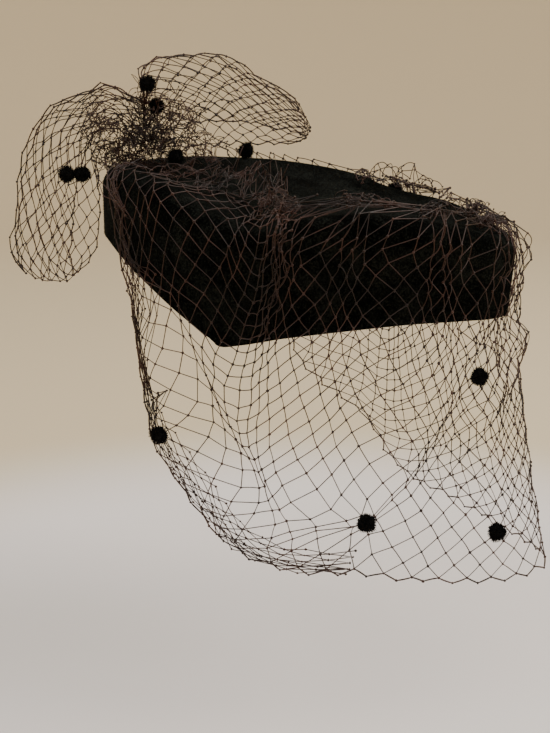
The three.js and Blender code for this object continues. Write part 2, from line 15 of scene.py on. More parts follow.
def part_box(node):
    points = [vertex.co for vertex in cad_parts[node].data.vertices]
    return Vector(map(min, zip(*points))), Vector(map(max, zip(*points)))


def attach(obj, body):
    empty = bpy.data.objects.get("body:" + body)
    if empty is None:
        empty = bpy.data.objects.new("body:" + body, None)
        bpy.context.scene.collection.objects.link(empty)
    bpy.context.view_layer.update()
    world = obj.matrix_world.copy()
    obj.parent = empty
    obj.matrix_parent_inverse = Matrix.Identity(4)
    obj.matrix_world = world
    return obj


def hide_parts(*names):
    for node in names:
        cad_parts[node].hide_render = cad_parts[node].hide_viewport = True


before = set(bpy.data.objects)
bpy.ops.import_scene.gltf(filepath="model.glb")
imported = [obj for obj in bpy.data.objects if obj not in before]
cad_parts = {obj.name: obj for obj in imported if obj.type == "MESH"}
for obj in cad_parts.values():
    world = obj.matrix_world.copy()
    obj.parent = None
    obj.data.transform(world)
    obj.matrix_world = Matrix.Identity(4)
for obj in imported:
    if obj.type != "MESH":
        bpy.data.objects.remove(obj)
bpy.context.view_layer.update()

MM = 0.001

# %% [markdown]
# ## Camera and studio
# The camera comes first, because every later choice is judged through it. It stands at the right
# front of the hat, a little above it, and looks down. The focal length is stated in pixels of a
# 550 by 733 frame and turned into millimetres of a 36 mm sensor on the long side.

# %% Camera
IMAGE_HEIGHT = 733
FOCAL_PIXELS = 1252.8
CAMERA_AT = Vector((-0.65254, -0.30429, 0.080))
CAMERA_WAY = Vector((0.8704, 0.4358, -0.2290)).normalized()
camera_data = bpy.data.cameras.new("camera")
camera_data.sensor_width = 36
camera_data.lens = FOCAL_PIXELS * 36 / IMAGE_HEIGHT
camera_data.clip_start = 0.01
camera = bpy.data.objects.new("camera", camera_data)
camera.location = CAMERA_AT
camera.rotation_euler = CAMERA_WAY.to_track_quat("-Z", "Y").to_euler()
bpy.context.scene.collection.objects.link(camera)
bpy.context.scene.camera = camera
print("lens mm", round(camera_data.lens, 2))

# %% [markdown]
# Materials and node trees share one small language. `Wire` wraps an output socket, so that
# `1 - mask * 0.5` adds its own Math nodes, and `Graph.add` makes every other node.

# %% Node language
class Wire:
    def __init__(self, graph, socket):
        self.graph = graph
        self.socket = socket

    def _math(self, operation, a, b):
        node = self.graph.add("ShaderNodeMath", {"operation": operation}, {0: a, 1: b})
        return Wire(self.graph, node.outputs[0])

    def __add__(self, other):
        return self._math("ADD", self, other)

    def __radd__(self, other):
        return self._math("ADD", other, self)

    def __sub__(self, other):
        return self._math("SUBTRACT", self, other)

    def __rsub__(self, other):
        return self._math("SUBTRACT", other, self)

    def __mul__(self, other):
        return self._math("MULTIPLY", self, other)

    def __rmul__(self, other):
        return self._math("MULTIPLY", other, self)


class Graph:
    def __init__(self, tree):
        self.tree = tree

    def add(self, kind, settings=None, sockets=None):
        node = self.tree.nodes.new(kind)
        for name, value in (settings or {}).items():
            if name == "stops":
                ramp = node.color_ramp
                for stop, (place, color) in zip(list(ramp.elements), value):
                    stop.position, stop.color = place, color
                for place, color in value[2:]:
                    ramp.elements.new(place).color = color
            else:
                setattr(node, name, value)
        for name, value in (sockets or {}).items():
            if isinstance(value, Wire):
                self.tree.links.new(value.socket, node.inputs[name])
            else:
                node.inputs[name].default_value = value
        return node

    def out(self, node, name=0):
        return Wire(self, node.outputs[name])


def new_material(name):
    material = bpy.data.materials.new(name)
    material.use_nodes = True
    material.node_tree.nodes.clear()
    return material, Graph(material.node_tree)


def finish_material(graph, shader):
    graph.add("ShaderNodeOutputMaterial", None, {"Surface": graph.out(shader)})


# %% [markdown]
# Every mesh that isn't made by a node tree is written point by point, because its points follow
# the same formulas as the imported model. One helper turns points and faces into an object.

# %% Object maker
def object_from(name, verts, faces, edges=()):
    mesh = bpy.data.meshes.new(name)
    mesh.from_pydata([tuple(v) for v in verts], [tuple(e) for e in edges], [tuple(f) for f in faces])
    mesh.update()
    made = bpy.data.objects.new(name, mesh)
    bpy.context.scene.collection.objects.link(made)
    return made


# %% [markdown]
# The floor runs up into a wall all round, as a studio's curved backdrop does, so that no horizon
# line shows from any side. It is pale and cool under the hat and warmer further off.

# %% Floor and light
FLOOR_Z = -0.262
FLAT_REACH, WALL_REACH, WALL_TOP = 2.0, 3.0, 2.2
NEAR_FLOOR = (0.84, 0.80, 0.79, 1)
FAR_FLOOR = (0.67, 0.565, 0.39, 1)


def floor_material():
    material, graph = new_material("pale_floor")
    place = graph.add("ShaderNodeTexCoord")
    far = graph.add("ShaderNodeVectorMath", {"operation": "LENGTH"}, {0: graph.out(place, "Object")})
    share = graph.add("ShaderNodeMapRange", {"interpolation_type": "SMOOTHSTEP"},
                      {"Value": graph.out(far, "Value"), "From Min": 0.26, "From Max": 0.50})
    color = graph.add("ShaderNodeMix", {"data_type": "RGBA"},
                      {0: graph.out(share), 6: NEAR_FLOOR, 7: FAR_FLOOR})
    shader = graph.add("ShaderNodeBsdfPrincipled", None,
                       {"Base Color": graph.out(color, 2), "Roughness": 0.9, "Specular IOR Level": 0.1})
    finish_material(graph, shader)
    return material


def backdrop(around=96):
    bend = WALL_REACH - FLAT_REACH
    profile = [(0.5, 0), (1.2, 0), (FLAT_REACH, 0)]
    for k in range(1, 13):
        turn = k / 12 * math.pi / 2
        profile.append((FLAT_REACH + bend * math.sin(turn), bend * (1 - math.cos(turn))))
    profile.append((WALL_REACH, WALL_TOP))
    verts = [(r * math.cos(2 * math.pi * k / around), r * math.sin(2 * math.pi * k / around), z)
             for r, z in profile for k in range(around)] + [(0, 0, 0)]
    faces = [(a * around + k, (a + 1) * around + k,
              (a + 1) * around + (k + 1) % around, a * around + (k + 1) % around)
             for a in range(len(profile) - 1) for k in range(around)]
    faces += [(len(verts) - 1, k, (k + 1) % around) for k in range(around)]
    made = object_from("floor", verts, faces)
    made.location.z = FLOOR_Z
    made.data.polygons.foreach_set("use_smooth", [True] * len(made.data.polygons))
    made.data.materials.append(floor_material())


def lamp(name, at, size, power, color):
    light = bpy.data.lights.new(name, "AREA")
    light.size = size
    light.energy = power
    light.color = color
    holder = bpy.data.objects.new(name, light)
    holder.location = at
    holder.rotation_euler = (-Vector(at)).to_track_quat("-Z", "Y").to_euler()
    bpy.context.scene.collection.objects.link(holder)


backdrop()
lamp("soft_key", (0.6, -1.2, 1.2), 1.1, 26, (1.0, 0.96, 0.90))
lamp("soft_fill", (-1.3, 0.5, 1.5), 1.5, 12, (0.95, 0.97, 1.0))
world = bpy.data.worlds.new("studio")
bpy.context.scene.world = world
world.use_nodes = True
world.node_tree.nodes["Background"].inputs[0].default_value = (1.0, 0.96, 0.90, 1)
world.node_tree.nodes["Background"].inputs[1].default_value = 1.0

# %% [markdown]
# ## The shape of the hat
# The cap is ruled by a few sizes and a table with a row per direction round the hat. The net
# follows the same rules, so these are kept as functions of the angle `t` in degrees, 0 at the
# front and positive towards the wearer's right. Lengths in this part are millimetres.

# %% Sizes and tables
HALF_WIDTH, FRONT_REACH, BACK_REACH = 96, 121, 124
FRONT_POWER, BACK_POWER = 1.5, 2.1
FELT, SHOULDER = 2.5, 9.5
CREST_RISE, RIM_DROP, RIM_SWEEP = 28, 58.5, 11
CROWN_MID, CROWN_TILT, CROWN_DISH = 11, 16, 6
NET_LIFT, NET_DROP, GATHER_LIE, LEFT_LIE, HEM_FLARE = 2.4, 209, 44, 0.35, 26
BUNCH_RISE, BUNCH_ANGLE = 2.5, 134
PLEAT_RISE, SWAG_RISE, SWAG_WIDTH, VEIL_DROP_Z = 5, 6, 8, 192


def table(names, rows):
    values = np.array(rows, float)
    return {name: values[:, k] for k, name in enumerate(names.split())}


FELT_ROWS = table("angle crest_right crest_left rim sweep", [
    (0, -0.18, -0.18, 0.82, 0.27), (12, -0.12, -0.16, 0.83, 0.36), (24, 0.04, -0.11, 0.82, 0.55),
    (38, 0.21, 0.04, 0.82, 0.73), (52, 0.34, 0.20, 0.86, 0.91), (66, 0.26, 0.27, 0.92, 1.0),
    (78, 0.11, 0.38, 0.99, 1.0), (87, 0.07, 0.50, 1.0, 1.0), (98, 0.36, 0.68, 0.79, 0.82),
    (110, 0.68, 0.82, 0.55, 0.64), (122, 0.87, 0.91, 0.37, 0.36), (136, 0.91, 0.96, 0.21, 0.18),
    (150, 0.91, 1.0, 0.18, 0), (165, 0.95, 1.0, 0.19, 0), (180, 0.98, 0.98, 0.19, 0)])
VEIL_ROWS = table("angle drop lie flare start", [
    (0, 0.947, 0.14, 1.0, 0), (15, 0.962, 0.14, 0.90, 0), (30, 0.981, 0.14, 0.70, 0),
    (45, 0.986, 0.14, 0.50, 0), (60, 0.976, 0.11, 0.30, 0), (69, 0.967, 0.18, 0.22, 0),
    (77, 1.0, 0.52, 0.16, 0.10), (84.4, 1.0, 0.77, 0.13, 0.19), (93.5, 1.0, 0.95, 0.12, 0.30),
    (99, 0.981, 1.0, 0.12, 0.37), (105.2, 0.938, 1.0, 0.12, 0.44), (111.3, 0.861, 0.95, 0.12, 0.52),
    (115.4, 0.636, 0.89, 0.12, 0.58), (119.4, 0.536, 0.82, 0.12, 0.64), (124, 0.421, 0.68, 0.12, 0.71),
    (127, 0.318, 0.55, 0.12, 0.76), (129.6, 0.214, 0.41, 0.12, 0.80), (136, 0.115, 0.34, 0.12, 0.91),
    (142, 0, 0.27, 0.12, 1.0)])
PLEATS = table("angle width rise", [
    (74, 4, 1.0), (64, 3.5, 1.0), (52, 3.5, 1.0), (40, 3.5, 0.8), (30, 3.5, 1.0), (20, 3.5, 1.0),
    (10, 3.5, 0.8), (0, 3.5, 0.6)])
SWAG_ROWS = table("angle fall", [
    (0, 0.31), (10, 0.34), (24, 0.48), (40, 0.67), (52, 0.78), (66, 0.83), (80, 0.82), (90, 0.76),
    (100, 0.62), (108, 0.47), (116, 0.26)])
LOOP_COLUMNS = "share out_reach out_height in_reach in_height"
RIGHT_LOOP = table(LOOP_COLUMNS, [
    (0, 0.03, 0.10, 0.06, -0.08), (0.15, 0.20, 0.31, 0.25, -0.06), (0.3, 0.40, 0.26, 0.33, -0.16),
    (0.45, 0.61, 0.17, 0.31, -0.28), (0.6, 0.77, -0.10, 0.30, -0.43), (0.75, 0.83, -0.43, 0.305, -0.57),
    (0.9, 0.87, -0.71, 0.33, -0.72), (1, 0.79, -0.87, 0.40, -0.83)])
LEFT_LOOP = table(LOOP_COLUMNS, [
    (0, -0.02, 0.10, 0.04, -0.08), (0.15, -0.08, 0.33, 0.19, -0.09), (0.3, -0.02, 0.45, 0.34, -0.10),
    (0.45, 0.21, 0.49, 0.50, -0.10), (0.6, 0.51, 0.48, 0.66, -0.10), (0.75, 0.75, 0.35, 0.84, -0.10),
    (0.9, 1.01, 0.23, 1.04, -0.11), (1, 1.11, 0.13, 1.13, -0.09)])
KNOT = np.array([-9.0, 101, 43])
LOOP_REACH, LOOP_THICK = 100, 16
UP = np.array([0, 0, 1.0])


# %% [markdown]
# The shape could be drawn as a few curves and lofted. It is written as functions instead, so that
# any piece can ask where the felt is in a direction: `side_point` walks from the crown over the
# shoulder and down the wall, which is the way that the net lies too.

# %% Felt functions
def column(rows, name, x, key="angle"):
    """Smooth curve through one column of a table."""
    xs, ys = rows[key], rows[name]
    slopes = np.zeros_like(ys)
    slopes[1:-1] = (ys[2:] - ys[:-2]) / (xs[2:] - xs[:-2])
    at = np.clip(x, xs[0], xs[-1])
    i = np.clip(np.searchsorted(xs, at, side="right") - 1, 0, len(xs) - 2)
    h = xs[i + 1] - xs[i]
    s = (at - xs[i]) / h
    first = (1 + 2 * s) * (1 - s) ** 2 * ys[i] + s * (1 - s) ** 2 * h * slopes[i]
    return first + s * s * (3 - 2 * s) * ys[i + 1] + s * s * (s - 1) * h * slopes[i + 1]


def wrap(t):
    return (np.asarray(t, float) + 180) % 360 - 180


def crest_height(t):
    a = np.abs(wrap(t))
    right = 0.5 + 0.5 * np.clip(2 * np.sin(np.radians(wrap(t))), -1, 1)
    share = column(FELT_ROWS, "crest_right", a) * right + column(FELT_ROWS, "crest_left", a) * (1 - right)
    return CREST_RISE * share


def rim_height(t):
    return -RIM_DROP * column(FELT_ROWS, "rim", np.abs(wrap(t)))


def plan(t):
    c, s = np.cos(np.radians(t)), np.sin(np.radians(t))
    power = np.where(c >= 0, FRONT_POWER, BACK_POWER)
    reach = np.where(c >= 0, FRONT_REACH, BACK_REACH)
    x = -HALF_WIDTH * np.sign(s) * np.abs(s) ** (2 / power)
    return np.stack([x, -reach * np.sign(c) * np.abs(c) ** (2 / power)], -1)


def outward(t):
    step = plan(np.asarray(t) + 2) - plan(np.asarray(t) - 2)
    n = np.stack([-step[..., 1], step[..., 0]], -1)
    n /= np.linalg.norm(n, axis=-1, keepdims=True)
    return np.where(np.sum(n * plan(t), -1, keepdims=True) < 0, -n, n)


def crown_height(t, r):
    edge = plan(t)[..., 1] - SHOULDER * outward(t)[..., 1]
    slope = CROWN_TILT / FRONT_REACH
    bend = (crest_height(t) - CROWN_MID - slope * edge) * r ** 2.5
    return CROWN_MID + slope * edge * r + bend - CROWN_DISH * (1 - r * r)


def crown_at(x, y):
    reach = np.where(y <= 0, FRONT_REACH, BACK_REACH) - SHOULDER
    power = np.where(y <= 0, FRONT_POWER, BACK_POWER)
    a = (np.abs(x) / (HALF_WIDTH - SHOULDER)) ** power
    b = (np.abs(y) / reach) ** power
    t = np.degrees(np.arctan2(np.sign(-x) * np.sqrt(a), np.sign(-y) * np.sqrt(b)))
    return crown_height(t, np.minimum((a + b) ** (1 / power), 1))


def side_point(t, along, lie, lift, flare, hem):
    """At `along` from a line `lie` in from the shoulder: out, over the shoulder, down the wall."""
    t, along, lie, lift, flare, hem = np.broadcast_arrays(
        *[np.asarray(q, float) for q in (t, along, lie, lift, flare, hem)])
    crest, rim = crest_height(t), rim_height(t)
    turn = np.clip((along - lie) / SHOULDER, 0, np.pi / 2)
    inset = np.clip(lie - along, 0, None)
    down = np.clip(along - lie - SHOULDER * np.pi / 2, 0, None)
    z = crest - SHOULDER + (SHOULDER + lift) * np.cos(turn) - down
    wall = np.clip(down / np.maximum(crest - SHOULDER - rim, 1), 0, 1)
    hang = np.clip((rim - z) / np.maximum(rim - hem, 1), 0, None)
    out = -SHOULDER + (SHOULDER + lift) * np.sin(turn) - inset + flare * hang ** 1.2
    n = outward(t)
    p = plan(t) + n * out[..., None]
    edge = plan(t) - n * SHOULDER
    fit = crown_at(p[..., 0], p[..., 1]) - crown_at(edge[..., 0], edge[..., 1])
    z = z + np.where(inset > 0, fit, 0)
    sweep = RIM_SWEEP * column(FELT_ROWS, "sweep", np.abs(wrap(t)))
    return np.stack([p[..., 0], p[..., 1] + sweep * wall, z], -1)


# %% [markdown]
# ## Felt cap
# The cap is one blocked piece of velour, so it is made as rings of points that run from the middle
# of the inside, round the cut rim and back to the middle of the top. The rings are much closer
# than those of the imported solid, which gives the shoulder its soft roll. A nap of short fibres is
# spread over it with Geometry Nodes, because velour has a soft, slightly hairy outline.

# %% Felt mesh
def felt_rings(columns=192):
    t = -(np.arange(columns) + 0.5) * 360 / columns
    arc = SHOULDER * np.pi / 2
    wall = crest_height(t) - SHOULDER - rim_height(t)
    edge = plan(t) - outward(t) * SHOULDER
    fit = crest_height(t) - crown_at(edge[:, 0], edge[:, 1])

    def top(r, drop):
        z = crown_at(edge[:, 0] * r, edge[:, 1] * r) + fit * r * r - drop
        return np.column_stack([edge * r, z])

    def outer(along):
        return side_point(t, along, 0, 0, 0, -VEIL_DROP_Z)

    def inner(along, turn):
        p = outer(along)
        p[:, :2] -= FELT * math.sin(turn) * outward(t)
        p[:, 2] -= FELT * math.cos(turn)
        return p

    shares = np.linspace(0.04, 1, 22)
    rings = [top(r, FELT) for r in shares]
    rings += [inner(arc * s, s * math.pi / 2) for s in np.linspace(0.15, 1, 6)]
    rings += [inner(arc + wall * s, math.pi / 2) for s in np.linspace(0.1, 0.985, 9)]
    for turn in (30, 90, 150):
        s = (1 - math.cos(math.radians(turn))) / 2
        low = outer(arc + wall) * s + inner(arc + wall, math.pi / 2) * (1 - s)
        low[:, 2] -= 0.5 * math.sin(math.radians(turn))
        rings.append(low)
    rings += [outer(arc + wall * s) for s in np.linspace(0.985, 0.0, 12)]
    rings += [outer(arc * s) for s in np.linspace(0.9, 0.1, 8)]
    rings += [top(r, 0) for r in shares[::-1]]
    return np.array(rings)


def closed_rings(name, rings):
    count, n = rings.shape[:2]
    ends = np.array([rings[0].mean(0), rings[-1].mean(0)])
    verts = np.vstack([rings.reshape(-1, 3), ends]) * MM
    faces = []
    for r in range(count - 1):
        for k in range(n):
            a, b = r * n + k, r * n + (k + 1) % n
            faces.append((a, b, b + n, a + n))
    last = (count - 1) * n
    for k in range(n):
        faces.append((count * n, (k + 1) % n, k))
        faces.append((count * n + 1, last + k, last + (k + 1) % n))
    made = object_from(name, verts, faces)
    made.data.polygons.foreach_set("use_smooth", [True] * len(made.data.polygons))
    return made


felt = closed_rings("velour_cap", felt_rings())
felt_tree = BVHTree.FromPolygons([v.co.copy() for v in felt.data.vertices],
                                 [tuple(p.vertices) for p in felt.data.polygons])
print("velour cap faces", len(felt.data.polygons))


# %% [markdown]
# Velour felt swallows light: it is nearly black, with a grain of slightly paler fibre tips. A noise
# texture in object coordinates gives the grain and drives the bump too. An image would give the
# same look from one side only.

# %% Felt finish
def felt_material():
    material, graph = new_material("black_velour")
    place = graph.out(graph.add("ShaderNodeTexCoord"), "Object")
    cloud = graph.out(graph.add("ShaderNodeTexNoise", None,
                                {"Vector": place, "Scale": 55.0, "Detail": 5.0, "Roughness": 0.65}))
    nap = graph.out(graph.add("ShaderNodeTexNoise", None,
                              {"Vector": place, "Scale": 900.0, "Detail": 3.0, "Roughness": 0.7}))
    mask = cloud * 0.35 + nap * 0.65
    color = graph.add("ShaderNodeValToRGB", {"stops": [
        (0.47, (0.0003, 0.0004, 0.0003, 1)), (0.64, (0.0150, 0.0170, 0.0145, 1))]}, {"Fac": mask})
    bump = graph.add("ShaderNodeBump", None, {"Strength": 0.8, "Distance": 0.0012, "Height": mask})
    shader = graph.add("ShaderNodeBsdfPrincipled", None, {
        "Base Color": graph.out(color), "Roughness": 0.95, "Specular IOR Level": 0.02,
        "Sheen Weight": 0.01, "Sheen Roughness": 0.4, "Sheen Tint": (0.60, 0.70, 0.64, 1),
        "Normal": graph.out(bump)})
    finish_material(graph, shader)
    return material


velour = felt_material()
felt.data.materials.append(velour)


# %% [markdown]
# Every repeated detail is made by a Geometry Nodes tree. `bake_tree` sets the inputs by their
# identifiers, takes the evaluated result as a plain mesh and drops the modifier.

# %% Geometry Nodes helpers
def new_tree(name, inputs):
    tree = bpy.data.node_groups.new(name, "GeometryNodeTree")
    tree.interface.new_socket("Geometry", in_out="INPUT", socket_type="NodeSocketGeometry")
    for label, kind in inputs:
        tree.interface.new_socket(label, in_out="INPUT", socket_type=kind)
    tree.interface.new_socket("Geometry", in_out="OUTPUT", socket_type="NodeSocketGeometry")
    graph = Graph(tree)
    return tree, graph, graph.add("NodeGroupInput")


def end_tree(graph, geometry, material):
    real = graph.add("GeometryNodeRealizeInstances", None, {"Geometry": geometry})
    painted = graph.add("GeometryNodeSetMaterial", None, {"Geometry": graph.out(real), "Material": material})
    graph.add("NodeGroupOutput", None, {"Geometry": graph.out(painted)})


def bake_tree(source, tree, values, name):
    modifier = source.modifiers.new("make", "NODES")
    modifier.node_group = tree
    for item in tree.interface.items_tree:
        if item.item_type == "SOCKET" and item.in_out == "INPUT" and item.name in values:
            modifier[item.identifier] = values[item.name]
    graph = bpy.context.evaluated_depsgraph_get()
    mesh = bpy.data.meshes.new_from_object(source.evaluated_get(graph))
    source.modifiers.remove(modifier)
    made = bpy.data.objects.new(name, mesh)
    bpy.context.scene.collection.objects.link(made)
    mesh.name = name
    return made


def triangles(thing):
    thing.data.calc_loop_triangles()
    return len(thing.data.loop_triangles)


# %% [markdown]
# Both the nap and the dots need standing fibres. One tree scatters points on the faces, leans a
# cone at each a little at random and gives it a random size, so that no two spots look alike.

# %% Fibre tree
def fibre_tree():
    """Short cones standing on the faces, leaning a little at random."""
    tree, graph, given = new_tree("standing_fibres", [
        ("Count", "NodeSocketFloat"), ("Length", "NodeSocketFloat"), ("Radius", "NodeSocketFloat"),
        ("Lean", "NodeSocketFloat"), ("Seed", "NodeSocketInt"), ("Material", "NodeSocketMaterial")])
    spread = graph.add("GeometryNodeDistributePointsOnFaces", None, {
        "Mesh": graph.out(given, "Geometry"), "Density": graph.out(given, "Count"),
        "Seed": graph.out(given, "Seed")})
    cone = graph.add("GeometryNodeMeshCone", {"fill_type": "NONE"}, {
        "Vertices": 3, "Radius Bottom": graph.out(given, "Radius"), "Depth": graph.out(given, "Length")})
    lean = graph.add("FunctionNodeRandomValue", {"data_type": "FLOAT_VECTOR"}, {
        "Min": (-1, -1, -1), "Max": (1, 1, 1), "Seed": graph.out(given, "Seed")})
    scaled = graph.add("ShaderNodeVectorMath", {"operation": "SCALE"}, {
        0: graph.out(lean, "Value"), "Scale": graph.out(given, "Lean")})
    way = graph.add("ShaderNodeVectorMath", None, {
        0: graph.out(spread, "Normal"), 1: graph.out(scaled)})
    turned = graph.add("FunctionNodeAlignRotationToVector", {"axis": "Z"}, {"Vector": graph.out(way)})
    size = graph.add("FunctionNodeRandomValue", {"data_type": "FLOAT"}, {2: 0.55, 3: 1.15})
    placed = graph.add("GeometryNodeInstanceOnPoints", None, {
        "Points": graph.out(spread, "Points"), "Instance": graph.out(cone, "Mesh"),
        "Rotation": graph.out(turned), "Scale": graph.out(size, 1)})
    end_tree(graph, graph.out(placed), graph.out(given, "Material"))
    return tree


# %% [markdown]
# The nap is a coat of very short fibres that softens the felt's outline. Hair strands could do it,
# but small cones instanced on the faces stay a plain mesh, which can be exported.

# %% Nap
fibres = fibre_tree()
nap = bake_tree(felt, fibres, {
    "Count": 260000.0, "Length": 0.0009, "Radius": 0.00007, "Lean": 0.7, "Seed": 5,
    "Material": velour}, "velour_nap")
print("nap triangles", triangles(nap))
for piece in (felt, nap):
    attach(piece, "root")
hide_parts("felt_body")


# %% [markdown]
# ## Net
# The net is one knotted thread mesh. Every side of a diamond is 11.6 mm of thread, and a diamond
# of the hanging veil is about 16 mm wide and 17 mm tall. A net is first laid on the surface it
# was draped over.
# Where it is gathered, two crossings end up closer than the thread between them is long. The
# thread then bows out, and that makes the crumpled look of the gathers.

# %% Laying a net
SIDE = 11.6
THREAD = 0.27
KNOT_SIZE = 0.80
DOTS, DOT_ROOM = 11, 8.5
rng = np.random.default_rng(11)


def lattice(nu, nv):
    """Crossings (i, j) with i + j even, and the sides that join them."""
    spots = [(i, j) for i in range(2 * nu + 1) for j in range(2 * nv + 1) if (i + j) % 2 == 0]
    index = {spot: k for k, spot in enumerate(spots)}
    sides = [(index[i, j], index[i + 1, j + s]) for i, j in spots for s in (-1, 1)
             if (i + 1, j + s) in index]
    return np.array(spots), np.array(sides)


def dot_middles():
    boxes = [np.array(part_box(f"chenille_dot_{k:02d}"), float) for k in range(1, DOTS + 1)]
    return [(low + high) / 2 / MM for low, high in boxes]


def tie_dots(aim, reach=14, soft=11):
    """The net is eased over, so that a crossing lies at each dot and no dot hangs off the net."""
    for middle in dot_middles():
        far = np.linalg.norm(aim - middle, axis=1)
        if far.min() < reach:
            near = aim[far.argmin()].copy()
            share = np.exp(-(np.linalg.norm(aim - near, axis=1) / soft) ** 2)
            aim += share[:, None] * (middle - near)


def clear_of_felt(points, gap=0.9):
    """Points closer to the felt than `gap` are moved out along its normal."""
    out = points.copy()
    for k, p in enumerate(points):
        near, normal, _, far = felt_tree.find_nearest(Vector(p * MM))
        height = (Vector(p * MM) - near).dot(normal)
        if height < gap * MM and far < 0.012:
            out[k] = np.array(near + normal * gap * MM) / MM
    return out


def bowed_threads(x, sides, out, loose, steps=5, wild=0.6):
    """Each side as a run of points, bowed where its thread is loose and longer than the gap."""
    a, b = x[sides[:, 0]], x[sides[:, 1]]
    gap = np.linalg.norm(b - a, axis=1)
    spare = np.clip(SIDE - gap, 0.03, None)
    bow = loose * np.minimum(np.sqrt(3 * np.maximum(gap, 2) * spare / 8), 0.42 * SIDE)
    bow = bow * rng.uniform(0.4, 1, len(gap))
    way = out + wild * rng.normal(0, 1, a.shape)
    along = (b - a) / np.maximum(gap, 1e-6)[:, None]
    way -= np.sum(way * along, 1, keepdims=True) * along
    way /= np.linalg.norm(way, axis=1, keepdims=True) + 1e-9
    s = np.arange(1, steps)[:, None, None] / steps
    return a + (b - a) * s + way * bow[:, None] * (4 * s * (1 - s))


def net_wires(name, x, sides, out, loose=1.0, steps=5, wild=0.6, edge=None, edge_weight=1.45):
    """A mesh of bare edges that runs along every thread, ready for the thread tree."""
    middle = bowed_threads(x, sides, out, loose, steps, wild).transpose(1, 0, 2).reshape(-1, 3)
    points = clear_of_felt(np.vstack([x, middle]))
    chain = []
    for k, (a, b) in enumerate(sides):
        run = [a] + [len(x) + k * (steps - 1) + m for m in range(steps - 1)] + [b]
        chain += list(zip(run[:-1], run[1:]))
    wires = object_from(name, points * MM, [], chain)
    knots = wires.data.attributes.new("knot", "BOOLEAN", "POINT")
    knots.data.foreach_set("value", [k < len(x) for k in range(len(points))])
    weight = np.ones(len(points))
    if edge is not None:
        for k in np.flatnonzero(edge):
            weight[len(x) + k * (steps - 1):len(x) + (k + 1) * (steps - 1)] = edge_weight
    thick = wires.data.attributes.new("weight", "FLOAT", "POINT")
    thick.data.foreach_set("value", weight)
    return wires


# %% [markdown]
# Real veiling is twisted thread with a hard little knot at each crossing. The wires are bare edges,
# so the tree turns them into curves, sweeps a four-sided ring along them and sets a small ball at
# each crossing. Four sides are enough for a thread that is about one pixel wide.

# %% Thread tree
def thread_tree():
    tree, graph, given = new_tree("knotted_thread", [
        ("Radius", "NodeSocketFloat"), ("Knot", "NodeSocketFloat"), ("Seed", "NodeSocketInt"),
        ("Material", "NodeSocketMaterial")])
    line = graph.add("GeometryNodeMeshToCurve", None, {"Mesh": graph.out(given, "Geometry")})
    weight = graph.add("GeometryNodeInputNamedAttribute", {"data_type": "FLOAT"}, {"Name": "weight"})
    ring = graph.add("GeometryNodeCurvePrimitiveCircle", None, {
        "Resolution": 4, "Radius": graph.out(given, "Radius")})
    tube = graph.add("GeometryNodeCurveToMesh", None, {
        "Curve": graph.out(line), "Profile Curve": graph.out(ring, "Curve"),
        "Scale": graph.out(weight, "Attribute"), "Fill Caps": True})
    tied = graph.add("GeometryNodeInputNamedAttribute", {"data_type": "BOOLEAN"}, {"Name": "knot"})
    blob = graph.add("GeometryNodeMeshIcoSphere", None, {
        "Radius": graph.out(given, "Knot"), "Subdivisions": 1})
    size = graph.add("FunctionNodeRandomValue", {"data_type": "FLOAT_VECTOR"}, {
        "Min": (0.75, 0.75, 0.75), "Max": (1.3, 1.3, 1.3), "Seed": graph.out(given, "Seed")})
    knots = graph.add("GeometryNodeInstanceOnPoints", None, {
        "Points": graph.out(given, "Geometry"), "Selection": graph.out(tied, "Attribute"),
        "Instance": graph.out(blob, "Mesh"), "Scale": graph.out(size, "Value")})
    both = graph.add("GeometryNodeJoinGeometry")
    for made in (tube, knots):
        tree.links.new(made.outputs[0], both.inputs[0])
    end_tree(graph, graph.out(both), graph.out(given, "Material"))
    return tree


def thread_material():
    material, graph = new_material("brown_thread")
    place = graph.out(graph.add("ShaderNodeTexCoord"), "Object")
    patch = graph.out(graph.add("ShaderNodeTexNoise", None,
                                {"Vector": place, "Scale": 45.0, "Detail": 3.0}))
    color = graph.add("ShaderNodeValToRGB", {"stops": [
        (0.38, (0.012, 0.0052, 0.0040, 1)), (0.66, (0.052, 0.0205, 0.0145, 1))]}, {"Fac": patch})
    shader = graph.add("ShaderNodeBsdfPrincipled", None, {
        "Base Color": graph.out(color), "Roughness": 0.38, "Specular IOR Level": 0.36})
    finish_material(graph, shader)
    return material


# %% Spinning a net
threads = thread_tree()
brown = thread_material()


def spin_net(wires, name, thread=THREAD, knot=KNOT_SIZE, seed=1):
    net = bake_tree(wires, threads, {"Radius": thread * MM, "Knot": knot * MM, "Seed": seed,
                                     "Material": brown}, name)
    net.data.polygons.foreach_set("use_smooth", [True] * len(net.data.polygons))
    bpy.data.objects.remove(wires)
    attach(net, "root")
    print(name, "triangles", triangles(net))
    return net


# %% [markdown]
# The veil hangs on one surface: `t` says where round the hat, and `v` how far down the strip, from
# 0 at the gathered edge to 1 at the hem. Towards the back the strip is sewn on at a slant, so its
# upper rows end there one after the other. On the left the net is caught nearer to the crest, and
# towards the back of that side the crown is bare.

# %% Veil surface
LEFT_FROM, LEFT_OVER = 60, 20
BARE_FROM, BARE_OVER = 84, 12


def start_share(t):
    return np.interp(np.abs(wrap(t)), VEIL_ROWS["angle"], VEIL_ROWS["start"])


